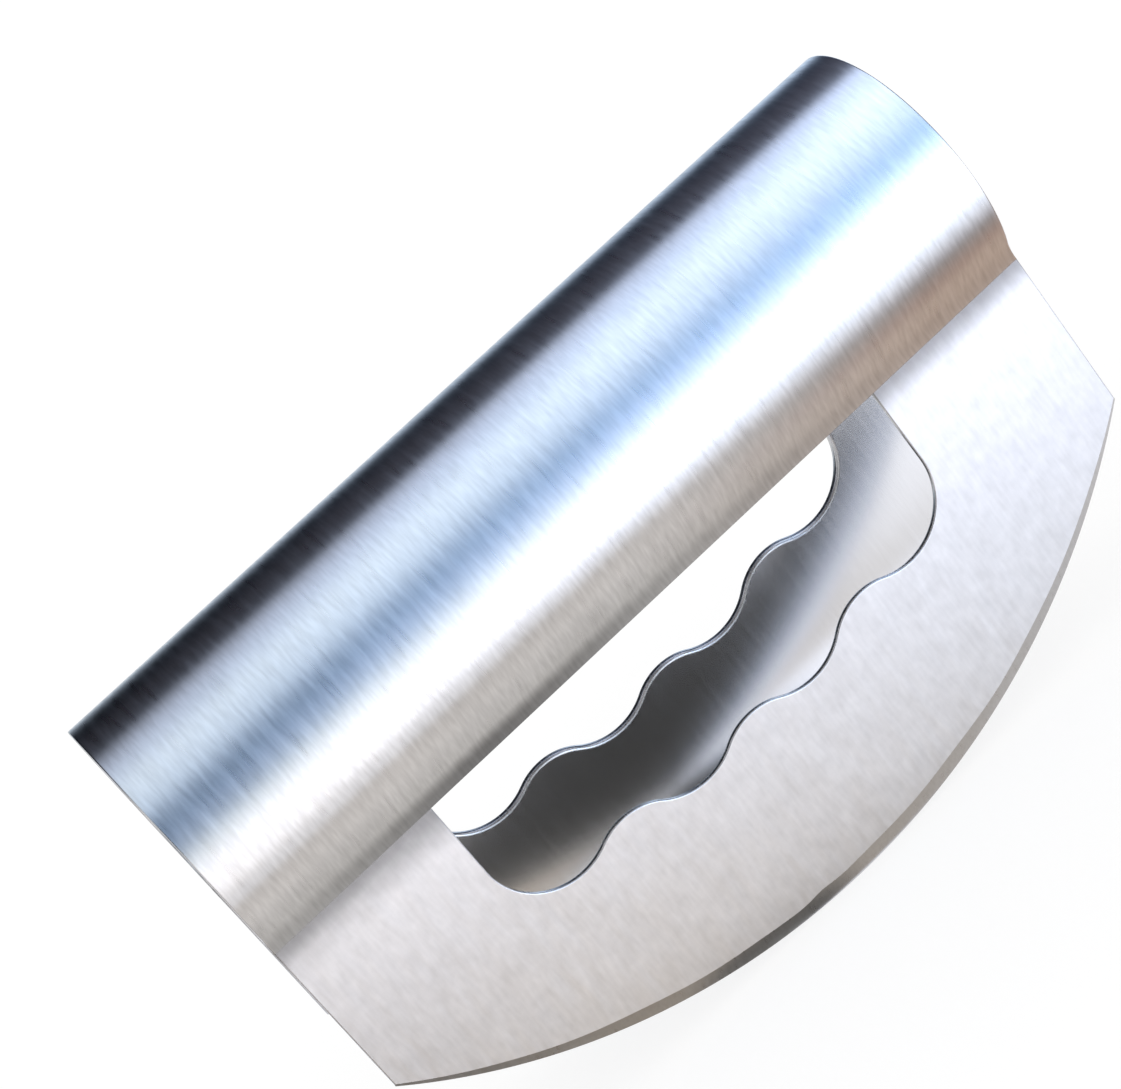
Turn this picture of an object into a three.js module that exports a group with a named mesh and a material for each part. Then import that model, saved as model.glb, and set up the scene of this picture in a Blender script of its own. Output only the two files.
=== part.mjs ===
// Double-bladed salad chopper, folded from one stainless sheet: the sheet is rolled into a tube handle,
// draws in at a neck on each side and runs down as two parallel blades with a finger slot through both.
// Millimetres. +X runs along the handle, +Y to the rear, +Z up. The cutting edges rest on z = 0.

import * as THREE from 'three';

// Driving dimensions of the sheet and its folds
const HANDLE_LENGTH = 165;
const SHEET_THICKNESS = 1.5;
const TUBE_DIAMETER = 49;
const NECK_INSET = 5.5; // each blade's outer face lies this far inside the side of the tube
const NECK_RADIUS = 6.4; // outer face of the bend between tube and blade
const BLADE_HEIGHT = 63.4; // fold line above the lowest point of the cutting edge

// Driving dimensions of the curved cutting edge, ground on the outer face only
const EDGE_RISE = 32.1; // from the middle of the edge up to its ends
const EDGE_LAND = 0.2; // steel left at the edge in the middle of the blade
const BEVEL_WIDTH = 3.1; // ground band in the middle of the blade
const BEVEL_END_WIDTH = 0.6; // ground band at both ends

// Driving dimensions of the finger slot, which hangs from the fold line
const SLOT_LENGTH = 98.2;
const SLOT_DEPTH = 26.8; // fold line down to the floor of the outer scallops
const MIDDLE_DROP = 3.3; // the two middle scallops lie this much lower
const FINGER_PITCH = 24.2; // between the two middle scallops
const SCALLOP_RADIUS = 11.9;
const BUMP_RADIUS = 11.3; // rounded crest between two scallops

// Facets along each curve. The edge has an odd number, so that its middle facet lies flat on z = 0.
const TUBE_SEGMENTS = 60;
const NECK_SEGMENTS = 7;
const EDGE_SEGMENTS = 41;
const SCALLOP_SEGMENTS = 9;
const BUMP_SEGMENTS = 7;

// Sizes that follow from the driving dimensions
const tubeRadius = TUBE_DIAMETER / 2;
const halfLength = HANDLE_LENGTH / 2;
const bladeOffset = tubeRadius - NECK_INSET; // middle plane to the outer face of a blade
const neckOffset = bladeOffset + NECK_RADIUS; // middle plane to the centre of a neck bend
const tubeLift = Math.sqrt((tubeRadius + NECK_RADIUS) ** 2 - neckOffset ** 2); // fold line to the tube's axis
const tubeHeight = BLADE_HEIGHT + tubeLift;
const neckAngle = Math.atan2(tubeLift, neckOffset); // how far each neck turns

const steel = (color, roughness) => new THREE.MeshStandardMaterial({ color, roughness, metalness: 1 });
const handleSteel = steel(0xc9ccd4, 0.3);
const bladeSteel = steel(0xcfcdca, 0.36);

// Points of an arc. It turns clockwise where the second angle is the smaller one.
function arc(centre, radius, from, to, segments) {
  const curve = new THREE.EllipseCurve(centre.x, centre.y, radius, radius, from, to, to < from);
  return curve.getPoints(segments);
}

// One outline from several runs of points, each of which starts where the run before it ends
function chain(...runs) {
  return runs.flatMap((run, i) => (i === 0 ? run : run.slice(1)));
}

// One face of the rolled sheet across the handle, from the front fold line over the tube to the rear one.
// Depth is how far the face lies inside the outer face of the sheet.
function sheetFace(depth) {
  const frontNeck = new THREE.Vector2(-neckOffset, BLADE_HEIGHT);
  const rearNeck = new THREE.Vector2(neckOffset, BLADE_HEIGHT);
  const axis = new THREE.Vector2(0, tubeHeight);
  const bend = NECK_RADIUS + depth;
  return chain(
    arc(frontNeck, bend, 0, neckAngle, NECK_SEGMENTS),
    arc(axis, tubeRadius - depth, Math.PI + neckAngle, -neckAngle, TUBE_SEGMENTS),
    arc(rearNeck, bend, Math.PI - neckAngle, Math.PI, NECK_SEGMENTS),
  );
}

// The handle is the sheet's section, drawn in the YZ plane and run along X
function handleGeometry() {
  const section = new THREE.Shape([...sheetFace(0), ...sheetFace(SHEET_THICKNESS).reverse()]);
  const geometry = new THREE.ExtrudeGeometry(section, { depth: HANDLE_LENGTH, bevelEnabled: false });
  const acrossHandle = new THREE.Vector3(0, 1, 0);
  const upHandle = new THREE.Vector3(0, 0, 1);
  const alongHandle = new THREE.Vector3(1, 0, 0);
  geometry.applyMatrix4(new THREE.Matrix4().makeBasis(acrossHandle, upHandle, alongHandle));
  return geometry.translate(-halfLength, 0, 0);
}

// Radius of an arc as long as the handle that rises by a given amount at both ends
const radiusForRise = (rise) => (halfLength ** 2 + rise ** 2) / (2 * rise);

// Cutting edge from the left end of a blade to the right end, with its middle facet on z = 0
function edgeLine() {
  const radius = radiusForRise(EDGE_RISE);
  const spread = Math.asin(halfLength / radius);
  const centre = new THREE.Vector2(0, radius * Math.cos(spread / EDGE_SEGMENTS));
  const down = -Math.PI / 2;
  return arc(centre, radius, down - spread, down + spread, EDGE_SEGMENTS);
}

// Height of the line where the ground bevel meets the outer face
function bevelLine(x) {
  const radius = radiusForRise(EDGE_RISE + BEVEL_END_WIDTH - BEVEL_WIDTH);
  return BEVEL_WIDTH + radius - Math.sqrt(radius ** 2 - x ** 2);
}

// Centre of the bump that touches two neighbouring scallops from below
function bumpCentre(left, right) {
  const step = right.clone().sub(left);
  const reach = Math.sqrt((SCALLOP_RADIUS + BUMP_RADIUS) ** 2 - step.lengthSq() / 4);
  const downward = new THREE.Vector2(step.y, -step.x).normalize();
  return left.clone().add(right).multiplyScalar(0.5).addScaledVector(downward, reach);
}

const bearing = (from, to) => Math.atan2(to.y - from.y, to.x - from.x);

// Finger slot from its top right corner down, along the scalloped floor and up to its top left corner
function slotLine() {
  const halfSlot = SLOT_LENGTH / 2;
  const outerX = halfSlot - SCALLOP_RADIUS;
  const outerZ = BLADE_HEIGHT - SLOT_DEPTH + SCALLOP_RADIUS;
  const middleX = FINGER_PITCH / 2;
  const middleZ = outerZ - MIDDLE_DROP;
  const scallops = [
    new THREE.Vector2(-outerX, outerZ),
    new THREE.Vector2(-middleX, middleZ),
    new THREE.Vector2(middleX, middleZ),
    new THREE.Vector2(outerX, outerZ),
  ];
  const bumps = scallops.slice(1).map((scallop, i) => bumpCentre(scallops[i], scallop));

  const runs = [[new THREE.Vector2(-halfSlot, BLADE_HEIGHT), new THREE.Vector2(-halfSlot, outerZ)]];
  scallops.forEach((scallop, i) => {
    const start = i === 0 ? -Math.PI : bearing(scallop, bumps[i - 1]);
    const end = i === bumps.length ? 0 : bearing(scallop, bumps[i]);
    runs.push(arc(scallop, SCALLOP_RADIUS, start, end, SCALLOP_SEGMENTS));
    if (i < bumps.length) {
      const bump = bumps[i];
      const crest = [bearing(bump, scallop), bearing(bump, scallops[i + 1])];
      runs.push(arc(bump, BUMP_RADIUS, ...crest, BUMP_SEGMENTS));
    }
  });
  runs.push([new THREE.Vector2(halfSlot, outerZ), new THREE.Vector2(halfSlot, BLADE_HEIGHT)]);
  return chain(...runs).reverse();
}

// Closed solid through rings of equal length, the first one facing +Y and the last one facing -Y
function loft(rings) {
  const count = rings[0].length;
  const index = [];
  for (let ring = 0; ring + 1 < rings.length; ring += 1) {
    for (let i = 0; i < count; i += 1) {
      const j = (i + 1) % count;
      const near = ring * count;
      const far = near + count;
      index.push(near + i, near + j, far + j, near + i, far + j, far + i);
    }
  }
  const cap = (ring) => {
    const outline = rings[ring].map((point) => new THREE.Vector2(point.x, point.z));
    const triangles = THREE.ShapeUtils.triangulateShape(outline, []);
    return triangles.map((triangle) => triangle.map((i) => ring * count + i));
  };
  index.push(...cap(0).map((triangle) => triangle.reverse()).flat());
  index.push(...cap(rings.length - 1).flat());

  const geometry = new THREE.BufferGeometry().setFromPoints(rings.flat());
  geometry.setIndex(index);
  const faceted = geometry.toNonIndexed();
  faceted.computeVertexNormals();
  return faceted;
}

// One blade, with its inner face on y = 0 and its outer face towards -Y
function bladeGeometry() {
  const edge = edgeLine();
  const tabs = [new THREE.Vector2(halfLength, BLADE_HEIGHT), new THREE.Vector2(-halfLength, BLADE_HEIGHT)];
  const outline = [...edge, tabs[0], ...slotLine(), tabs[1]];
  const slope = (SHEET_THICKNESS - EDGE_LAND) / BEVEL_WIDTH;
  const innerFace = outline.map((point) => new THREE.Vector3(point.x, 0, point.y));
  const bevelFoot = outline.map((point, i) => {
    const ground = i < edge.length ? slope * (bevelLine(point.x) - point.y) : SHEET_THICKNESS / 2;
    return new THREE.Vector3(point.x, ground - SHEET_THICKNESS, point.y);
  });
  const outerFace = outline.map((point, i) => {
    const height = i < edge.length ? bevelLine(point.x) : point.y;
    return new THREE.Vector3(point.x, -SHEET_THICKNESS, height);
  });
  return loft([innerFace, bevelFoot, outerFace]);
}

function namedMesh(name, geometry, material) {
  const mesh = new THREE.Mesh(geometry, material);
  mesh.name = name;
  return mesh;
}

const handle = namedMesh('handle_tube', handleGeometry(), handleSteel);

const blade = bladeGeometry();
const innerFaceOffset = bladeOffset - SHEET_THICKNESS;

const frontBlade = namedMesh('front_blade', blade, bladeSteel);
frontBlade.position.y = -innerFaceOffset;

const rearBlade = namedMesh('rear_blade', blade, bladeSteel);
rearBlade.position.y = innerFaceOffset;
rearBlade.rotation.z = Math.PI;

const chopper = new THREE.Group();
chopper.add(handle, frontBlade, rearBlade);

export default chopper;
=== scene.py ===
# %% [markdown]
# A salad chopper folded from one sheet of brushed steel. The real one starts as a flat blank: the
# middle is rolled into a tube for the palm, a neck on each side draws the sheet in, and the two ends hang
# down as parallel blades with a finger slot through both. The imported model is loaded first, because every
# piece has to agree with it in size and place.

# %% Load the frame
import math

import bmesh
import bpy
from mathutils import Matrix, Vector


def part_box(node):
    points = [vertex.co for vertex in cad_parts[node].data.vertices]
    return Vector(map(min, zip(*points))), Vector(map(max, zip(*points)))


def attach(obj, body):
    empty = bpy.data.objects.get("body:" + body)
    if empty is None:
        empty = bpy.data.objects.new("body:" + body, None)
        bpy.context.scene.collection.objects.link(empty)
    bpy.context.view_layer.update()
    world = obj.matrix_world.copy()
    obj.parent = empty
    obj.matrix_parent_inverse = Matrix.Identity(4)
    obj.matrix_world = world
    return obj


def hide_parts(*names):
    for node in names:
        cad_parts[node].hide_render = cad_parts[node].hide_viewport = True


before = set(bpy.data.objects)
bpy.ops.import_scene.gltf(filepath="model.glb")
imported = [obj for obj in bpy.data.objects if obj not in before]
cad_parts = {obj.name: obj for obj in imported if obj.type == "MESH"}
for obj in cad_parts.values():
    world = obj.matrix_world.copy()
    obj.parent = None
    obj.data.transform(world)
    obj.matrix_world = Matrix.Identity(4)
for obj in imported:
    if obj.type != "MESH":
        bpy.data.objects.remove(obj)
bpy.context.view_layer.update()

print("nodes:", sorted(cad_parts))

# %% [markdown]
# The sheet has one thickness all over, so a few measures of the frame give all of its section. The blade's
# box gives the thickness, the place of its outer face and the fold line, where the flat blade ends and the
# neck begins. The neck's bend touches the tube, so the tube's radius follows from the height above the fold.

# %% Measure the sheet
MM = 0.001
NECK_RADIUS = 6.4 * MM  # outer face of the bend between tube and blade

blade_low, blade_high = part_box("front_blade")
handle_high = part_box("handle_tube")[1]
half_length = handle_high.x
thickness = blade_high.y - blade_low.y
face_y = -blade_low.y  # middle plane to the outer face of a blade
fold_z = blade_high.z
neck_y = face_y + NECK_RADIUS
rise = handle_high.z - fold_z
tube_radius = (rise**2 - NECK_RADIUS**2 + neck_y**2) / (2 * (rise + NECK_RADIUS))
tube_z = handle_high.z - tube_radius
neck_turn = math.atan2(tube_z - fold_z, neck_y)
print(f"sheet {thickness / MM:.2f} mm, tube radius {tube_radius / MM:.2f} mm, axis at {tube_z / MM:.2f} mm")

# %% [markdown]
# The camera stands in front of the chopper, a little to the left and well above it, and is rolled so that
# the handle runs from the lower left to the upper right. A long lens keeps the perspective gentle. The three
# angles are easier to read than a rotation matrix, so the matrix is worked out from them.

# %% Place the camera
CAMERA_PLACE = Vector((-85.0, -465.30, 265.04)) * MM
CAMERA_AZIMUTH = math.radians(-9.970)
CAMERA_ELEVATION = math.radians(22.068)
CAMERA_ROLL = math.radians(-39.092)
CAMERA_LENS = 99.84  # mm
SENSOR_WIDTH = 36  # mm
NEAREST = 0.01  # what is closer to the camera doesn't show

back = Vector((
    math.sin(CAMERA_AZIMUTH) * math.cos(CAMERA_ELEVATION),
    -math.cos(CAMERA_AZIMUTH) * math.cos(CAMERA_ELEVATION),
    math.sin(CAMERA_ELEVATION),
))
level_right = Vector((math.cos(CAMERA_AZIMUTH), math.sin(CAMERA_AZIMUTH), 0))
level_up = back.cross(level_right)
right = math.cos(CAMERA_ROLL) * level_right + math.sin(CAMERA_ROLL) * level_up
up = math.cos(CAMERA_ROLL) * level_up - math.sin(CAMERA_ROLL) * level_right

scene = bpy.context.scene
camera = bpy.data.objects.new("camera", bpy.data.cameras.new("camera"))
camera.data.lens = CAMERA_LENS
camera.data.sensor_width = SENSOR_WIDTH
camera.data.clip_start = NEAREST
camera.matrix_world = Matrix.Translation(CAMERA_PLACE) @ Matrix((right, up, back)).transposed().to_4x4()
scene.collection.objects.link(camera)
scene.camera = camera
print("camera at", [round(value / MM) for value in CAMERA_PLACE], "mm")

# %% [markdown]
# A shader tree is a few nodes wired together, and wiring them one call at a time is long. This helper
# makes a node, sets its options and fills its inputs: an input that is given a socket is linked to it,
# and any other value is set on the input itself.

# %% A helper for shader nodes
def add_node(tree, kind, inputs=None, **options):
    made = tree.nodes.new("ShaderNode" + kind)
    for name, value in options.items():
        setattr(made, name, value)
    for name, value in (inputs or {}).items():
        if isinstance(value, bpy.types.NodeSocket):
            tree.links.new(value, made.inputs[name])
        else:
            made.inputs[name].default_value = value
    return made


def new_material(name):
    material = bpy.data.materials.new(name)
    material.use_nodes = True
    material.node_tree.nodes.clear()
    return material, material.node_tree


print("node helper ready")

# %% [markdown]
# Brush lines follow the sheet, not the finished shape: they were there before it was bent. So every piece
# gets a UV map called blank, which says where a point lay on the flat blank. U runs along the handle and V
# across the sheet, from the front blade over the tube to the rear blade. A Tangent node on the same map
# turns the stretched highlights the right way all round the tube.

# %% Unroll the sheet
neck_length = NECK_RADIUS * neck_turn
tube_sweep = math.pi + 2 * neck_turn
tube_length = tube_radius * tube_sweep


def across_sheet(point):
    """Distance across the flat blank from the front fold line, for a point near the sheet."""
    beside_tube = point.z < tube_z - math.tan(neck_turn) * abs(point.y)
    if point.z <= fold_z:
        walked = point.z - fold_z
    elif beside_tube:
        walked = NECK_RADIUS * math.atan2(point.z - fold_z, neck_y - abs(point.y))
    else:
        from_top = math.atan2(point.y, point.z - tube_z)
        return neck_length + tube_radius * (tube_sweep / 2 + from_top)
    if point.y < 0:
        return walked
    return 2 * neck_length + tube_length - walked


def unroll(bm):
    layer = bm.loops.layers.uv.new("blank")
    for face in bm.faces:
        for loop in face.loops:
            loop[layer].uv = (loop.vert.co.x, across_sheet(loop.vert.co))


print(f"the blank is {(2 * (fold_z + neck_length) + tube_length) / MM:.0f} mm long")

# %% [markdown]
# A finish is worked out from numbers and colours that vary over the sheet. These helpers name the steps that
# are needed again and again: plain arithmetic, a number between two values, smooth steps from 0 to 1 and a
# mixture of two colours.

# %% Helpers for numbers and colours
def calculate(tree, operation, *values):
    made = add_node(tree, "Math", dict(enumerate(values)), operation=operation)
    return made.outputs["Value"]


def between(tree, factor, low, high):
    """A number that runs from low to high as the factor runs from 0 to 1."""
    made = add_node(tree, "MapRange", {"Value": factor, "To Min": low, "To Max": high})
    return made.outputs["Result"]


def smooth_step(tree, value, start, end):
    """Smoothly from 0 at the start to 1 at the end."""
    made = add_node(tree, "MapRange", {
        "Value": value, "From Min": start, "From Max": end,
    }, interpolation_type="SMOOTHSTEP")
    return made.outputs["Result"]


def fading(tree, value, middle, core, end):
    """1 near the middle, as far as the core, and smoothly down to 0 at the end."""
    away = calculate(tree, "ABSOLUTE", calculate(tree, "SUBTRACT", value, middle))
    return smooth_step(tree, away, end, core)


def mix_colours(tree, factor, one, other, **options):
    """One colour where the factor is 0 and the other where it is 1."""
    made = add_node(tree, "Mix", {"Factor": factor, "A": one, "B": other}, data_type="RGBA", **options)
    return made.outputs["Result"]


print("helpers for numbers and colours ready")

# %% [markdown]
# Satin steel is full of fine parallel lines left by the abrasive belt. A noise texture, squeezed along U
# and stretched along V, gives such lines. The belt doesn't reach into the bend of the neck, so a band along
# each fold line stays rougher, and the darker colour along it is painted shade in the crease, most of all
# to the left of the middle. The blade has a soft painted shade just below the fold. V on the flat blank
# tells how far a point lies from the nearest fold.

# %% Lines, the dull bend and its painted shade
NOISE_LOW = 0.2  # noise seldom leaves the range between these two
NOISE_HIGH = 0.8
# the band along each fold is a rougher finish, and its darkening is painted shade in the crease of the bend
DULL_FROM = -8 * MM  # the dull band across each fold line, measured from there towards the tube
DULL_FULL_FROM = -0.2 * MM
DULL_FULL_TO = 1.2 * MM
DULL_TO = 4.6 * MM
# the band's painted shade is darkest at this place, and lighter elsewhere and towards the right
DARKEST_BEND_X = -34 * MM  # where along the neck the band is dullest
DARKEST_BEND_REACH = 45 * MM
DULL_AND_SHADE_ELSEWHERE = 0.42  # how dull it is away from there
BRIGHT_START = 5 * MM  # the band fades to the right from here
BRIGHT_END = 65 * MM
DULL_AND_SHADE_AT_RIGHT = 0.5
# painted shade on the blade just below the fold
FOLD_SHADE_FROM = -5.5 * MM  # the soft shade below the fold, measured as the band is
FOLD_SHADE_TO = 0.2 * MM
FOLD_SHADE = 0.8

blank_middle = neck_length + tube_length / 2


def line_noise(tree, uv, width, length):
    """Noise in lines of about this width along U and this length along V, in metres, from 0 to 1."""
    stretched = add_node(tree, "Mapping", {"Vector": uv, "Scale": (1 / width, 1 / length, 1)})
    noise = add_node(tree, "TexNoise", {
        "Vector": stretched.outputs["Vector"], "Scale": 1.0, "Detail": 1.0, "Roughness": 0.5,
    }, noise_dimensions="2D")
    spread = add_node(tree, "MapRange", {
        "Value": noise.outputs["Fac"], "From Min": NOISE_LOW, "From Max": NOISE_HIGH,
    })
    return spread.outputs["Result"]


def dull_and_shaded_bend(tree, uv):
    """How dull the sheet is and how dark its painted shade: most along both fold lines, and 0 away from
    them.
    """
    blank = add_node(tree, "SeparateXYZ", {"Vector": uv})
    from_middle = calculate(tree, "ABSOLUTE", calculate(tree, "SUBTRACT", blank.outputs["Y"], blank_middle))
    from_fold = calculate(tree, "SUBTRACT", blank_middle, from_middle)
    # the band: a rougher finish, darkened as painted shade in the crease
    below = smooth_step(tree, from_fold, DULL_FROM, DULL_FULL_FROM)
    above = smooth_step(tree, from_fold, DULL_TO, DULL_FULL_TO)
    band = calculate(tree, "MULTIPLY", below, above)
    spot = fading(tree, blank.outputs["X"], DARKEST_BEND_X, 0.0, DARKEST_BEND_REACH)
    band = calculate(tree, "MULTIPLY", band, between(tree, spot, DULL_AND_SHADE_ELSEWHERE, 1.0))
    to_right = smooth_step(tree, blank.outputs["X"], BRIGHT_START, BRIGHT_END)
    band = calculate(tree, "MULTIPLY", band, between(tree, to_right, 1.0, DULL_AND_SHADE_AT_RIGHT))
    rising = smooth_step(tree, from_fold, FOLD_SHADE_FROM, 0.0)
    shade = calculate(tree, "MULTIPLY", rising, smooth_step(tree, from_fold, FOLD_SHADE_TO, 0.0))
    return calculate(tree, "MAXIMUM", band, calculate(tree, "MULTIPLY", shade, FOLD_SHADE))


print(f"dull band {(DULL_TO - DULL_FROM) / MM:.1f} mm wide along each fold")

# %% [markdown]
# Every finish of the sheet is the same steel with a few other numbers, so one function makes them all. Fine
# lines, broad lines and a cloud of noise tint the metal, and the broad lines change its roughness. Each line
# also leans a little its own way, which feathers the edge of every reflection, and the anisotropy draws
# highlights out along the handle, square to the lines.

# %% Brushed steel
BROAD_SHARE = 0.35  # of the broad lines in the tint
TINT_LOW = 0.2  # the tint runs from dark to light between these two
TINT_HIGH = 0.8
# how far the painted shade of the bend and below the fold darkens the steel
BEND_SHADE_DARKENS = 0.62
DULL_ROUGHENS = 0.12
BLACK = (0, 0, 0, 1)


def lean_lines(tree, shader, lines, tilt):
    """Turns the highlights along the handle and leans the lines up and down by the tilt."""
    tangent = add_node(tree, "Tangent", direction_type="UV_MAP", uv_map="blank").outputs["Tangent"]
    normal = add_node(tree, "NewGeometry").outputs["Normal"]
    along_lines = add_node(tree, "VectorMath", {0: normal, 1: tangent}, operation="CROSS_PRODUCT")
    leaning = add_node(tree, "VectorMath", {
        0: along_lines.outputs["Vector"], 1: between(tree, lines, -tilt, tilt), 2: normal,
    }, operation="MULTIPLY_ADD")
    leaning = add_node(tree, "VectorMath", {0: leaning.outputs["Vector"]}, operation="NORMALIZE")
    tree.links.new(tangent, shader.inputs["Tangent"])
    tree.links.new(leaning.outputs["Vector"], shader.inputs["Normal"])


def brushed_steel(
    name, tone, contrast, smooth, rough,
    stretch=0.0, tilt=0.0, line_width=0.5 * MM, line_length=4 * MM, cloudy=0.4, cloud_size=17 * MM,
):
    material, tree = new_material(name)
    blank = add_node(tree, "UVMap", uv_map="blank").outputs["UV"]
    place = add_node(tree, "TexCoord").outputs["Object"]

    fine = line_noise(tree, blank, line_width, line_length)
    broad = line_noise(tree, blank, 2 * line_width, 3 * line_length)
    lines = add_node(tree, "Mix", {"Factor": BROAD_SHARE, "A": fine, "B": broad}).outputs["Result"]
    cloud = add_node(tree, "TexNoise", {"Vector": place, "Scale": 1 / cloud_size, "Detail": 4.0})
    finish = add_node(tree, "Mix", {"Factor": cloudy, "A": lines, "B": cloud.outputs["Fac"]})
    dull_and_shade = dull_and_shaded_bend(tree, blank)

    tint = add_node(tree, "ValToRGB", {"Fac": finish.outputs["Result"]})
    dark, light = tint.color_ramp.elements
    dark.position = TINT_LOW
    dark.color = (*(value * (1 - contrast) for value in tone), 1)
    light.position = TINT_HIGH
    light.color = (*(value * (1 + contrast) for value in tone), 1)
    # painted shade: the colour darkens towards black along the fold
    colour = mix_colours(tree, between(tree, dull_and_shade, 0.0, BEND_SHADE_DARKENS), tint.outputs["Color"], BLACK)
    roughness = calculate(
        tree, "ADD", between(tree, broad, smooth, rough), between(tree, dull_and_shade, 0.0, DULL_ROUGHENS))

    shader = add_node(tree, "BsdfPrincipled", {
        "Base Color": colour, "Metallic": 1.0, "Roughness": roughness, "Anisotropic": stretch,
    })
    if stretch:
        lean_lines(tree, shader, lines, tilt)
    add_node(tree, "OutputMaterial", {"Surface": shader.outputs["BSDF"]})
    return material


handle_steel = brushed_steel(
    "handle_steel", (0.60, 0.61, 0.625), contrast=0.13, smooth=0.26, rough=0.36,
    stretch=0.7, tilt=0.004, line_width=0.6 * MM)
blade_steel = brushed_steel(
    "blade_steel", (0.66, 0.657, 0.67), contrast=0.1, smooth=0.43, rough=0.53,
    stretch=0.3, tilt=0.012, line_width=0.8 * MM, cloudy=0.65, cloud_size=2.5 * MM)
print("steel for the handle and the blades")

# %% [markdown]
# The cutting edge was ground after brushing, so it is darker and smoother. The cut walls of the slot and
# the ends were sheared by a punch and then tumbled smooth. Inside, the sheet still has the bright skin that
# it left the mill with. A cut wall has no area on the flat blank, so no direction can be read there. That is
# why the cut steel goes without stretched highlights, and the bright inside does well without them too.

# %% Ground, sheared and rolled steel
ground_steel = brushed_steel(
    "ground_steel", (0.50, 0.49, 0.48), contrast=0.06, smooth=0.26, rough=0.36,
    stretch=0.2, tilt=0.01, line_length=1 * MM)
cut_steel = brushed_steel(
    "cut_steel", (0.50, 0.50, 0.51), contrast=0.08, smooth=0.20, rough=0.30, line_length=1 * MM)
mill_steel = brushed_steel(
    "mill_steel", (0.82, 0.82, 0.83), contrast=0.02, smooth=0.15, rough=0.17, line_length=5 * MM)
print("steel for the ground edge, the cut walls and the inside")

# %% [markdown]
# Each finished mesh becomes an object at the origin, because its place is in its mesh. Smooth shading hides
# the facets of the bends. Edges that turn sharply are marked sharp, and so are the borders of the rounded
# ones, so that the flat faces stay flat. The piece then rides on the chopper's one body and stands for its
# CAD node.

# %% A helper that finishes a piece
SHARP_TURN = math.radians(20)


def finish_piece(bm, name, node, materials):
    unroll(bm)
    for edge in bm.edges:
        edge.smooth = edge.smooth and edge.calc_face_angle(0.0) < SHARP_TURN
    mesh = bpy.data.meshes.new(name)
    bm.to_mesh(mesh)
    bm.free()
    for material in materials:
        mesh.materials.append(material)
    mesh.shade_smooth()
    piece = bpy.data.objects.new(name, mesh)
    scene.collection.objects.link(piece)
    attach(piece, "root")
    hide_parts(node)
    print(f"{name}: {len(mesh.polygons)} faces")


print(f"edges turn sharp at {math.degrees(SHARP_TURN):.0f} degrees")

# %% [markdown]
# The handle is rolled the way the maker rolls it. The cut across the sheet at the front fold line is one
# narrow rectangle, and three spins carry it round the front neck, over the tube and round the rear neck.
# Two cuts across the rectangle first mark where the slot begins and ends, so that later the slot's top edge
# can be rounded by itself. Rounding the rims takes off the sharpness that a hand would feel. A punch that
# enters from the inside draws that edge in, so the slot is rounder on the inside than on the outside.

# %% Roll the handle
SLOT_LENGTH = 98.2 * MM
NECK_STEPS = 40
TUBE_STEPS = 180
RIM_ROUND = 0.3 * MM
PUNCH_EXIT_ROUND = 0.25 * MM
PUNCH_ENTRY_ROUND = 0.7 * MM
SAME_PLACE = 0.001 * MM

half_slot = SLOT_LENGTH / 2


def everything(bm):
    return bm.verts[:] + bm.edges[:] + bm.faces[:]


def round_edges(bm, edges, size, segments=6):
    rounded = bmesh.ops.bevel(
        bm, geom=edges, offset=size, offset_type="OFFSET", affect="EDGES",
        segments=segments, profile=0.5, material=-1, clamp_overlap=True)["faces"]
    for edge in {edge for face in rounded for edge in face.edges}:
        edge.smooth = all(face in rounded for face in edge.link_faces)


def is_at(value, target):
    return abs(value - target) < SAME_PLACE


bm = bmesh.new()
bmesh.ops.create_grid(bm, x_segments=1, y_segments=1, size=1)
bmesh.ops.scale(bm, verts=bm.verts, vec=(half_length, thickness / 2, 1))
bmesh.ops.translate(bm, verts=bm.verts, vec=(0, thickness / 2 - face_y, fold_z))
for x in (-half_slot, half_slot):
    bmesh.ops.bisect_plane(bm, geom=everything(bm), plane_co=(x, 0, 0), plane_no=(1, 0, 0))

swept = everything(bm)
for centre, turn, steps in (
    ((0, -neck_y, fold_z), neck_turn, NECK_STEPS),
    ((0, 0, tube_z), -tube_sweep, TUBE_STEPS),
    ((0, neck_y, fold_z), neck_turn, NECK_STEPS),
):
    spun = bmesh.ops.spin(bm, geom=swept, cent=centre, axis=(1, 0, 0), angle=turn, steps=steps)
    swept = spun["geom_last"]
bmesh.ops.recalc_face_normals(bm, faces=bm.faces)
print("rolled sheet:", len(bm.faces), "faces")

# %% Round its edges
END_FACING = 0.9  # the least X of the normal of an end face
RIM_FACING = 0.2  # and of its rounded rim
NO_SIZE = 0.0001 * MM

rims = [
    edge for edge in bm.edges
    if sum(abs(face.normal.x) > END_FACING for face in edge.link_faces) == 1
    and not all(is_at(vert.co.z, fold_z) for vert in edge.verts)
]
slot_tops = [
    edge for edge in bm.edges
    if all(is_at(vert.co.z, fold_z) and is_at(abs(vert.co.x), half_slot) for vert in edge.verts)
    and not is_at(edge.verts[0].co.x, edge.verts[1].co.x)
]
outer_tops = [edge for edge in slot_tops if is_at(abs(edge.verts[0].co.y), face_y)]
inner_tops = [edge for edge in slot_tops if edge not in outer_tops]
round_edges(bm, rims, RIM_ROUND)
round_edges(bm, outer_tops, PUNCH_EXIT_ROUND)
round_edges(bm, inner_tops, PUNCH_ENTRY_ROUND)
bmesh.ops.dissolve_degenerate(bm, dist=NO_SIZE, edges=bm.edges)
print("rounded", len(rims) + len(slot_tops), "edges")

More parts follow.
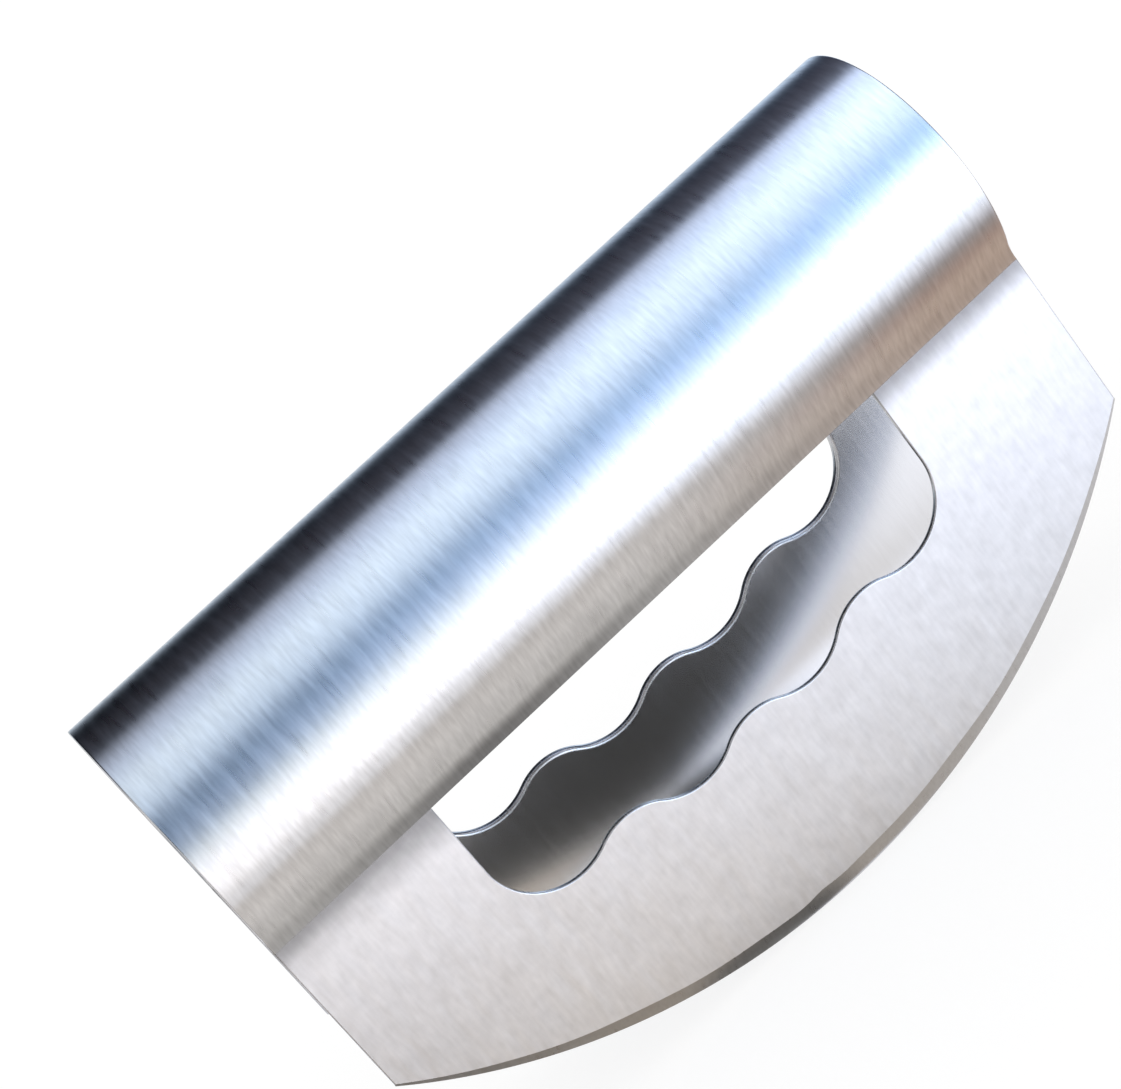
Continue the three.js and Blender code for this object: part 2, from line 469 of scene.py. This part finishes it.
# %% Finish the handle
def is_outer(face):
    """Whether a face of the rolled sheet lies on the outside."""
    middle = face.calc_center_median()
    on_neck = middle.z < tube_z - math.tan(neck_turn) * abs(middle.y)
    neck_axis = Vector((0, math.copysign(neck_y, middle.y), fold_z))
    away = neck_axis - middle if on_neck else middle - Vector((0, 0, tube_z))
    return face.normal.dot(away) > 0


handle_finishes = [handle_steel, cut_steel, mill_steel]
for face in bm.faces:
    if abs(face.normal.x) > RIM_FACING:
        finish = cut_steel
    elif is_outer(face):
        finish = handle_steel
    else:
        finish = mill_steel
    face.material_index = handle_finishes.index(finish)
finish_piece(bm, "rolled_handle", "handle_tube", handle_finishes)

# %% [markdown]
# A blade is a flat outline with thickness. Its outline is drawn as a chain: a vertex is spun along the big
# arc of the cutting edge, extruded up the end of the blade and along the fold line, and then spun from one
# finger scallop to the next, with a rounded bump between two of them. Scallop and bump touch each other, so
# the line between their centres gives the angle where one arc hands over to the next.

# %% Sizes of the blade
EDGE_RISE = 32.1 * MM  # from the middle of the cutting edge up to its ends
EDGE_LAND = 0.2 * MM  # steel left at the edge in the middle of the blade
BEVEL_WIDTH = 3.1 * MM  # ground band in the middle of the blade
BEVEL_END_WIDTH = 0.6 * MM  # ground band at both ends
SLOT_DEPTH = 26.8 * MM  # fold line down to the floor of the outer scallops
MIDDLE_DROP = 3.3 * MM  # the two middle scallops lie this much lower
FINGER_PITCH = 24.2 * MM  # between the two middle scallops
SCALLOP_RADIUS = 11.9 * MM
BUMP_RADIUS = 11.3 * MM

outer_x = half_slot - SCALLOP_RADIUS
outer_z = fold_z - SLOT_DEPTH + SCALLOP_RADIUS
middle_z = outer_z - MIDDLE_DROP
scallops = [
    Vector((outer_x, outer_z)),
    Vector((FINGER_PITCH / 2, middle_z)),
    Vector((-FINGER_PITCH / 2, middle_z)),
    Vector((-outer_x, outer_z)),
]


def radius_for(height):
    """Radius of an arc as long as the handle that rises by this height at both ends."""
    return (half_length**2 + height**2) / (2 * height)


def bump_between(one, other):
    """Centre of the bump that touches two neighbouring scallops from below."""
    step = other - one
    reach = math.sqrt((SCALLOP_RADIUS + BUMP_RADIUS) ** 2 - step.length_squared / 4)
    downward = Vector((-step.y, step.x)).normalized()
    return (one + other) / 2 + downward * reach


bumps = [bump_between(one, other) for one, other in zip(scallops, scallops[1:])]
print("bumps at", [(round(bump.x / MM, 1), round(bump.y / MM, 1)) for bump in bumps])

# %% Draw the outline
EDGE_STEPS = 120
SCALLOP_STEPS = 24
BUMP_STEPS = 16


def line_to(bm, last, x, z):
    new = bmesh.ops.extrude_vert_indiv(bm, verts=[last])["verts"][0]
    new.co = (x, -face_y, z)
    return new


def arc_to(bm, last, centre, turn, steps):
    """Spins the last vertex about a centre in the blade's plane, anticlockwise from the front."""
    spun = bmesh.ops.spin(
        bm, geom=[last], cent=(centre.x, -face_y, centre.y), axis=(0, -1, 0), angle=turn, steps=steps)
    return next(part for part in spun["geom_last"] if isinstance(part, bmesh.types.BMVert))


def bearing(start, end):
    return math.atan2(end.y - start.y, end.x - start.x)


edge_radius = radius_for(EDGE_RISE)
edge_spread = math.asin(half_length / edge_radius)

bm = bmesh.new()
first = bm.verts.new((-half_length, -face_y, EDGE_RISE))
last = arc_to(bm, first, Vector((0, edge_radius)), 2 * edge_spread, EDGE_STEPS)
edge_verts = bm.verts[:]
last = line_to(bm, last, half_length, fold_z)
last = line_to(bm, last, half_slot, fold_z)
last = line_to(bm, last, half_slot, outer_z)
heading = 0.0
for i, scallop in enumerate(scallops):
    leaving = bearing(scallop, bumps[i]) if i < len(bumps) else -math.pi
    last = arc_to(bm, last, scallop, leaving - heading, SCALLOP_STEPS)
    if i < len(bumps):
        arriving = bearing(bumps[i], scallop)
        departing = bearing(bumps[i], scallops[i + 1])
        last = arc_to(bm, last, bumps[i], departing - arriving, BUMP_STEPS)
        heading = bearing(scallops[i + 1], bumps[i])
last = line_to(bm, last, -half_slot, fold_z)
last = line_to(bm, last, -half_length, fold_z)
bm.edges.new((last, first))
outline = bmesh.ops.edgeloop_fill(bm, edges=bm.edges[:])["faces"]
print("outline:", len(bm.verts), "points")

# %% [markdown]
# The outline is pushed through the sheet's thickness in two layers. Then the cutting edge is ground on the
# outer face only: the line between the layers moves to the narrow land that is left at the edge, and the
# outer line moves up to where the grinding stopped. A hand at a belt never holds quite still, so that line
# wanders a little.

# %% Give it thickness and grind the edge
WANDER = 0.12 * MM  # height of each of the two waves of the ground line
LONG_WAVE = 9 * MM
SHORT_WAVE = 3.7 * MM
WAVE_SHIFT = 1.3
SLIP_X = -9 * MM  # where the belt slipped once
SLIP_REACH = 3 * MM
SLIP_RISE = 0.5 * MM

bevel_radius = radius_for(EDGE_RISE + BEVEL_END_WIDTH - BEVEL_WIDTH)
grind_slope = (thickness - EDGE_LAND) / BEVEL_WIDTH


def bevel_line(x):
    """Height of the line where the ground bevel meets the outer face."""
    return BEVEL_WIDTH + bevel_radius - math.sqrt(bevel_radius**2 - x**2)


def wander(x):
    """How far the grinder's hand moved that line up."""
    fade = 1 - (x / half_length) ** 2
    waves = math.sin(x / LONG_WAVE) + math.sin(x / SHORT_WAVE + WAVE_SHIFT)
    slip = SLIP_RISE * math.exp(-((x - SLIP_X) / SLIP_REACH) ** 2)
    return WANDER * fade * waves + slip


grown = outline
for layer in range(2):
    region = [*grown, *grown[0].edges, *grown[0].verts]
    pushed = bmesh.ops.extrude_face_region(bm, geom=region)["geom"]
    moved = [part for part in pushed if isinstance(part, bmesh.types.BMVert)]
    bmesh.ops.translate(bm, verts=moved, vec=(0, thickness / 2, 0))
    grown = [part for part in pushed if isinstance(part, bmesh.types.BMFace)]

for vert in edge_verts:
    through = next(edge for edge in vert.link_edges if not is_at(edge.other_vert(vert).co.y, -face_y))
    foot = through.other_vert(vert)
    foot.co.y = -face_y + grind_slope * (bevel_line(vert.co.x) - vert.co.z)
    vert.co.z = bevel_line(vert.co.x) + wander(vert.co.x)
bmesh.ops.recalc_face_normals(bm, faces=bm.faces)
print("blade:", len(bm.faces), "faces")

# %% Round the slot and the ends
FLAT_FACING = 0.999  # the least Y of the normal of a flat face
GROUND_FACING = -0.2  # the greatest Z of the normal of the ground band


def is_flat(face):
    return abs(face.normal.y) > FLAT_FACING


def is_ground(face):
    low_enough = face.calc_center_median().z < EDGE_RISE + BEVEL_END_WIDTH
    return low_enough and face.normal.z < GROUND_FACING


slot_and_ends = [
    edge for edge in bm.edges
    if sum(is_flat(face) for face in edge.link_faces) == 1
    and not any(is_ground(face) for face in edge.link_faces)
    and not all(is_at(vert.co.z, fold_z) for vert in edge.verts)
]
ends = [edge for edge in slot_and_ends if all(is_at(abs(vert.co.x), half_length) for vert in edge.verts)]
outer_rim = [edge for edge in slot_and_ends if edge not in ends and is_at(edge.verts[0].co.y, -face_y)]
inner_rim = [edge for edge in slot_and_ends if edge not in ends and edge not in outer_rim]
round_edges(bm, ends, RIM_ROUND)
round_edges(bm, outer_rim, PUNCH_EXIT_ROUND)
round_edges(bm, inner_rim, PUNCH_ENTRY_ROUND)
print("rounded", len(slot_and_ends), "edges")

# %% [markdown]
# The rear blade is the same blade turned half round about the upright axis, which is how the fold places
# it. So the front blade gets its finishes first, and then its mesh is copied and turned.

# %% Finish both blades
blade_finishes = [blade_steel, ground_steel, cut_steel, mill_steel]
for face in bm.faces:
    if is_flat(face):
        finish = blade_steel if face.normal.y < 0 else mill_steel
    else:
        finish = ground_steel if is_ground(face) else cut_steel
    face.material_index = blade_finishes.index(finish)
rear = bm.copy()
bmesh.ops.rotate(rear, verts=rear.verts, cent=(0, 0, 0), matrix=Matrix.Rotation(math.pi, 3, "Z"))
finish_piece(bm, "front_chopping_blade", "front_blade", blade_finishes)
finish_piece(rear, "rear_chopping_blade", "rear_blade", blade_finishes)

# %% [markdown]
# Polished metal is mostly a picture of its surroundings, so the studio matters as much as the steel. The
# floor is white. Most of that is its own glow, so that it stays pale, and it still takes a soft shadow.

# %% Floor and world
FLOOR_SIZE = 6.0
FLOOR_Z = -0.4 * MM  # leaves room for the board and the strip that only the metal sees
FLOOR_TONE = (0.22, 0.22, 0.22, 1)
FLOOR_GLOW = 0.8
WHITE = (1, 1, 1, 1)

scene.view_settings.view_transform = "Standard"
scene.world = bpy.data.worlds.new("studio")
scene.world.use_nodes = True
sky = scene.world.node_tree.nodes["Background"]
sky.inputs["Color"].default_value = WHITE
sky.inputs["Strength"].default_value = 1.0


def stage_piece(bm, name, material):
    mesh = bpy.data.meshes.new(name)
    bm.to_mesh(mesh)
    bm.free()
    mesh.materials.append(material)
    mesh.shade_smooth()
    piece = bpy.data.objects.new(name, mesh)
    scene.collection.objects.link(piece)
    return piece


floor_paint, tree = new_material("floor_paint")
floor_shader = add_node(tree, "BsdfPrincipled", {
    "Base Color": FLOOR_TONE,
    "Roughness": 1.0,
    "Specular IOR Level": 0.0,
    "Emission Color": WHITE,
    "Emission Strength": FLOOR_GLOW,
})
add_node(tree, "OutputMaterial", {"Surface": floor_shader.outputs["BSDF"]})

bm = bmesh.new()
bmesh.ops.create_grid(bm, x_segments=1, y_segments=1, size=FLOOR_SIZE / 2)
bmesh.ops.translate(bm, verts=bm.verts, vec=(0, 0, FLOOR_Z))
stage_piece(bm, "floor", floor_paint)
print("floor and world")

# %% [markdown]
# A light tent hangs round the chopper's long axis and shows in the metal only. Each stretch of it is one
# broad band along the tube: a white front, a blue-grey panel above it, a cool ceiling and a dark drape
# behind. The angle round the axis picks the colour from a ramp. The right side is brighter than the left,
# and how much brighter is kept in the ramp's alpha. A dark end wall on the right draws the thin line along
# the rim.

# %% Measures of the tent
TENT_RADIUS = 0.7
TENT_LEFT = -1.5
TENT_RIGHT = 0.9
TENT_START = -12  # degrees above the horizon in front
TENT_END = 192
TENT_STEPS = 60
END_WALL_FROM = 0.7  # the cloth darkens from here towards the end wall
END_WALL_TO = 0.88
END_WALL_DARK = 0.8
FRONT_HORIZON = 0.25  # what a radial gradient gives at the horizon in front
TENT_WARM = (1.05, 1.01, 0.96, 1)
TENT_COOL = (0.95, 1.0, 1.07, 1)

# degrees above the horizon in front, colour, and how much brighter to the right
TENT_BANDS = [
    (-5, (2.3, 2.35, 2.4), 0.4),
    (6, (1.6, 1.76, 1.88), 0.5),
    (16, (0.98, 1.23, 1.63), 0.72),
    (26, (0.65, 0.88, 1.31), 0.65),
    (34, (0.47, 0.69, 1.02), 0.7),
    (43, (0.59, 0.78, 1.09), 0.55),
    (54, (0.98, 1.18, 1.45), 0.18),
    (66, (1.17, 1.36, 1.6), 0.18),
    (77, (1.3, 1.5, 1.72), 0.2),
    (92, (1.0, 1.17, 1.47), 0.25),
    (103, (0.88, 1.0, 1.28), 0.35),
    (111, (0.72, 0.8, 1.0), 0.55),
    (117, (0.06, 0.065, 0.09), 0.5),
    (135, (0.055, 0.053, 0.07), 0.45),
    (160, (0.012, 0.018, 0.03), 0.7),
    (166, (0.12, 0.15, 0.2), 0.5),
    (173, (0.42, 0.51, 0.64), 0.45),
    (184, (0.8, 0.95, 1.1), 0.05),
]
print("light tent with", len(TENT_BANDS), "bands")

# %% Helpers for lit cloth and cards
LEFT_LIMIT = -1.2  # past these limits, in reaches from the middle, the light stays the same
RIGHT_LIMIT = 1.6
LOSS_FROM = -0.7  # the far left end loses more light between these two
LOSS_TO = -1.2
GAIN_FROM = 0.65  # and the far right end gains more between these
GAIN_TO = 1.25


def metal_only(piece):
    piece.visible_camera = False
    piece.visible_diffuse = False
    piece.visible_transmission = False
    piece.visible_shadow = False


def fill_ramp(ramp, stops):
    """Fills a colour ramp from stops with a position, a colour and, where there is one, a lean as alpha."""
    while len(ramp.elements) < len(stops):
        ramp.elements.new(1.0)
    for element, (position, colour, *lean) in zip(ramp.elements, stops):
        element.position = position
        element.color = (*colour, *(lean or [1.0]))


def glow_to_right(
    tree, colour, along, lean, middle, reach, warm, cool, warm_x, cool_x, left_loss=0.0, right_gain=0.0,
):
    """Light that grows by the lean per reach to the right of the middle and shrinks to the left.

    Its tint runs from warm to cool between two places. The far ends lose and gain a little more.
    """
    side = add_node(tree, "MapRange", {
        "Value": along, "From Min": middle + LEFT_LIMIT * reach, "From Max": middle + RIGHT_LIMIT * reach,
        "To Min": LEFT_LIMIT, "To Max": RIGHT_LIMIT,
    }).outputs["Result"]
    cooling = add_node(tree, "MapRange", {"Value": along, "From Min": warm_x, "From Max": cool_x})
    tint = mix_colours(tree, cooling.outputs["Result"], warm, cool)
    tinted = mix_colours(tree, 1.0, colour, tint, blend_type="MULTIPLY")
    loss = smooth_step(tree, side, LOSS_FROM, LOSS_TO)
    gain = smooth_step(tree, side, GAIN_FROM, GAIN_TO)
    strength = calculate(tree, "MULTIPLY_ADD", side, lean, 1.0)
    strength = calculate(tree, "MULTIPLY_ADD", loss, -left_loss, strength)
    strength = calculate(tree, "MULTIPLY_ADD", gain, right_gain, strength)
    return add_node(tree, "Emission", {"Color": tinted, "Strength": strength})


print("helpers for lit cloth and cards ready")

# %% Paint and hang the tent
tent_cloth, tree = new_material("tent_cloth")
place = add_node(tree, "SeparateXYZ", {"Vector": add_node(tree, "TexCoord").outputs["Object"]})
height = calculate(tree, "SUBTRACT", place.outputs["Z"], tube_z)
round_axis = add_node(tree, "CombineXYZ", {"X": height, "Y": place.outputs["Y"]})
angle = add_node(tree, "TexGradient", {"Vector": round_axis.outputs["Vector"]}, gradient_type="RADIAL")
bands = add_node(tree, "ValToRGB", {"Fac": angle.outputs["Fac"]})
fill_ramp(bands.color_ramp, [(FRONT_HORIZON + degrees / 360, *rest) for degrees, *rest in TENT_BANDS])
end_wall = add_node(tree, "MapRange", {
    "Value": place.outputs["X"], "From Min": END_WALL_FROM, "From Max": END_WALL_TO, "To Max": END_WALL_DARK,
})
darkened = mix_colours(tree, end_wall.outputs["Result"], bands.outputs["Color"], BLACK)
glow = glow_to_right(
    tree, darkened, place.outputs["X"], bands.outputs["Alpha"], middle=0.13, reach=0.175,
    warm=TENT_WARM, cool=TENT_COOL, warm_x=-0.08, cool_x=0.42, right_gain=0.36)
add_node(tree, "OutputMaterial", {"Surface": glow.outputs["Emission"]})

start = math.radians(TENT_START)
bm = bmesh.new()
hem_ends = [
    bm.verts.new((x, -TENT_RADIUS * math.cos(start), tube_z + TENT_RADIUS * math.sin(start)))
    for x in (TENT_LEFT, TENT_RIGHT)
]
hem = bm.edges.new(hem_ends)
bmesh.ops.spin(
    bm, geom=[*hem_ends, hem], cent=(0, 0, tube_z), axis=(-1, 0, 0),
    angle=math.radians(TENT_END - TENT_START), steps=TENT_STEPS)
bmesh.ops.contextual_create(bm, geom=[vert for vert in bm.verts if is_at(vert.co.x, TENT_RIGHT)])
tent_faces = len(bm.faces)
metal_only(stage_piece(bm, "light_tent", tent_cloth))
print("tent:", tent_faces, "faces")

# %% [markdown]
# The lower half of the tube and the blades mirror the floor. A warm board in front of the chopper, which
# only the metal sees, gives them their beige: shaded by the cutting edge, beige further out and then white.
# A dark patch close to the edge, a painted contact shadow, darkens the ground band to the left of its
# middle.

# %% Measures of the board
CARD_HALF_LENGTH = 0.6
BOARD_Z = -0.2 * MM
BOARD_WARM = (1.07, 1.0, 0.91, 1)
BOARD_COOL = (0.95, 1.0, 1.08, 1)
# a painted contact shadow on the board, close to the cutting edge
SHADOW_PATCH_TONE = (0.2, 0.2, 0.2, 1)
SHADOW_PATCH_PLACE = Vector((-0.02, -0.0185, 0))
SHADOW_PATCH_REACH = Vector((0.022, 0.005, 1))
SHADOW_PATCH_CORE = 0.4  # share of the reach over which the patch is at its darkest

# Y, colour, and how much brighter to the right
BOARD_STOPS = [
    (-0.70, (2.2, 2.22, 2.4), 0.15),
    (-0.16, (2.1, 2.13, 2.3), 0.15),
    (-0.138, (1.4, 1.42, 1.52), 0.17),
    (-0.113, (1.06, 1.06, 1.13), 0.17),
    (-0.094, (0.89, 0.86, 0.85), 0.25),
    (-0.06, (1.0, 0.97, 0.95), 0.23),
    (-0.036, (0.91, 0.87, 0.84), 0.2),
    (-0.028, (0.68, 0.64, 0.60), 0.5),
    (-0.018, (0.64, 0.60, 0.56), 0.5),
]
board_front = BOARD_STOPS[0][0]
board_back = BOARD_STOPS[-1][0]
print(f"warm board from {board_front / MM:.0f} to {board_back / MM:.0f} mm")

# %% Paint and lay the board
def flat_card(name, material, front, rear, z=BOARD_Z):
    """A level card that shows in the metal only."""
    bm = bmesh.new()
    bmesh.ops.create_grid(bm, x_segments=1, y_segments=1, size=1)
    bmesh.ops.scale(bm, verts=bm.verts, vec=(CARD_HALF_LENGTH, (rear - front) / 2, 1))
    bmesh.ops.translate(bm, verts=bm.verts, vec=(0, (front + rear) / 2, z))
    metal_only(stage_piece(bm, name, material))


def tones_by_depth(tree, depth, stops):
    """A colour ramp along Y from the first stop to the last one."""
    front = stops[0][0]
    rear = stops[-1][0]
    share = add_node(tree, "MapRange", {"Value": depth, "From Min": front, "From Max": rear})
    tones = add_node(tree, "ValToRGB", {"Fac": share.outputs["Result"]})
    fill_ramp(tones.color_ramp, [((y - front) / (rear - front), *rest) for y, *rest in stops])
    return tones


def round_patch(tree, spot, middle, reach):
    """1 in the middle of a round patch and smoothly down to 0 at its reach."""
    away = add_node(tree, "VectorMath", {0: spot, 1: middle}, operation="SUBTRACT").outputs["Vector"]
    away = add_node(tree, "VectorMath", {0: away, 1: reach}, operation="DIVIDE").outputs["Vector"]
    away = add_node(tree, "VectorMath", {0: away}, operation="LENGTH").outputs["Value"]
    return fading(tree, away, 0.0, SHADOW_PATCH_CORE, 1.0)


board_paint, tree = new_material("board_paint")
spot = add_node(tree, "TexCoord").outputs["Object"]
place = add_node(tree, "SeparateXYZ", {"Vector": spot})
tones = tones_by_depth(tree, place.outputs["Y"], BOARD_STOPS)
# the painted contact shadow darkens the board's tones here
shadow_patch = round_patch(tree, spot, SHADOW_PATCH_PLACE, SHADOW_PATCH_REACH)
painted = mix_colours(tree, shadow_patch, tones.outputs["Color"], SHADOW_PATCH_TONE)
glow = glow_to_right(
    tree, painted, place.outputs["X"], tones.outputs["Alpha"], middle=0.014, reach=0.085,
    warm=BOARD_WARM, cool=BOARD_COOL, warm_x=-0.044, cool_x=0.062, left_loss=0.16)
add_node(tree, "OutputMaterial", {"Surface": glow.outputs["Emission"]})
flat_card("warm_board", board_paint, board_front, board_back)
print("warm board in front")

# %% [markdown]
# A narrow card lies right below the neck, level with the fold line. Its rear edge is inside the sheet, so
# that no light passes behind it. The blades don't see the card, because they mirror what lies lower, so it
# sets the colour of the tube's underside and of the neck alone: beige, and amber at the right. Towards the
# front it brightens and thins out to nothing, which gives the tube its soft step from white to beige.

# %% Card below the tube
CARD_FRONT = -46 * MM
CARD_SOLID = -36.3 * MM  # from here to the rear it hides what lies below
CARD_REAR = -18.5 * MM
CARD_Z = fold_z + 0.02 * MM
AMBER_START = -6 * MM
AMBER_END = 80 * MM

# Y and colour, at the left and at the right
BEIGE_STOPS = [
    (-0.0393, (1.2, 1.18, 1.21)),
    (-0.0348, (0.74, 0.68, 0.63)),
    (-0.0272, (0.89, 0.83, 0.78)),
    (-0.0245, (0.79, 0.74, 0.70)),
    (-0.0205, (0.70, 0.66, 0.62)),
]
AMBER_STOPS = [
    (-0.0393, (1.35, 1.38, 1.45)),
    (-0.0346, (0.84, 0.82, 0.88)),
    (-0.0305, (0.37, 0.33, 0.31)),
    (-0.025, (0.53, 0.36, 0.285)),
    (-0.0225, (0.65, 0.48, 0.375)),
]

card_paint, tree = new_material("card_paint")
place = add_node(tree, "SeparateXYZ", {"Vector": add_node(tree, "TexCoord").outputs["Object"]})
beige = tones_by_depth(tree, place.outputs["Y"], BEIGE_STOPS)
amber = tones_by_depth(tree, place.outputs["Y"], AMBER_STOPS)
to_amber = smooth_step(tree, place.outputs["X"], AMBER_START, AMBER_END)
painted = mix_colours(tree, to_amber, beige.outputs["Color"], amber.outputs["Color"])
glow = add_node(tree, "Emission", {"Color": painted, "Strength": 1.0})
clear = add_node(tree, "BsdfTransparent")
card = add_node(tree, "MixShader", {
    "Fac": smooth_step(tree, place.outputs["Y"], CARD_FRONT, CARD_SOLID),
    1: clear.outputs["BSDF"],
    2: glow.outputs["Emission"],
})
add_node(tree, "OutputMaterial", {"Surface": card.outputs["Shader"]})
flat_card("neck_card", card_paint, CARD_FRONT, CARD_REAR, CARD_Z)
print(f"card at {CARD_Z / MM:.1f} mm")

# %% [markdown]
# Between the blades it is dark, except where light comes in below the rising ends of the cutting edges. The
# inner faces mirror this strip of floor several times over, which gives them their dark left half and their
# light right end. The light's border is curved. Across it the floor goes from dark to light by way of blue
# at the right and of grey at the left, and at the very front the light is a little dimmer.

# %% Shaded strip between the blades
STRIP_REAR = 0.06
STRIP_DARK = (0.034, 0.032, 0.029, 1)
STRIP_GREY = (0.68, 0.65, 0.59, 1)
STRIP_BLUE = (0.48, 0.59, 0.80, 1)
STRIP_LIGHT = (1.4, 1.43, 1.55, 1)
GREY_X = -25 * MM  # grey turns to blue between these two
BLUE_X = 15 * MM
LIGHT_MIDDLE = -5.7 * MM  # the light comes in on both sides of this
LIGHT_BACK = 31.5 * MM  # at the front it reaches past the middle by this much
LIGHT_SPREAD = 14.8 * math.sqrt(MM)  # how fast its border moves aside
LIGHT_FADE = 27 * MM
HALF_LIT = 0.5
LIGHT_DIM = 0.78  # at the very front
LIGHT_FULL_Y = -4 * MM  # no longer dimmed from here to the rear

strip_paint, tree = new_material("strip_paint")
place = add_node(tree, "SeparateXYZ", {"Vector": add_node(tree, "TexCoord").outputs["Object"]})
aside = calculate(tree, "ABSOLUTE", calculate(tree, "SUBTRACT", place.outputs["X"], LIGHT_MIDDLE))
behind = calculate(tree, "SQRT", calculate(tree, "SUBTRACT", place.outputs["Y"], board_back))
border = calculate(tree, "MULTIPLY_ADD", behind, LIGHT_SPREAD, -LIGHT_BACK)
light = smooth_step(tree, calculate(tree, "SUBTRACT", aside, border), 0.0, LIGHT_FADE)
to_blue = smooth_step(tree, place.outputs["X"], GREY_X, BLUE_X)
halfway = mix_colours(tree, to_blue, STRIP_GREY, STRIP_BLUE)
first_half = add_node(tree, "MapRange", {"Value": light, "From Max": HALF_LIT}).outputs["Result"]
second_half = add_node(tree, "MapRange", {"Value": light, "From Min": HALF_LIT}).outputs["Result"]
tone = mix_colours(tree, first_half, STRIP_DARK, halfway)
tone = mix_colours(tree, second_half, tone, STRIP_LIGHT)
undimmed = smooth_step(tree, place.outputs["Y"], board_back, LIGHT_FULL_Y)
glow = add_node(tree, "Emission", {"Color": tone, "Strength": between(tree, undimmed, LIGHT_DIM, 1.0)})
add_node(tree, "OutputMaterial", {"Surface": glow.outputs["Emission"]})
flat_card("shaded_strip", strip_paint, board_back, STRIP_REAR)
print("shaded strip between the blades")
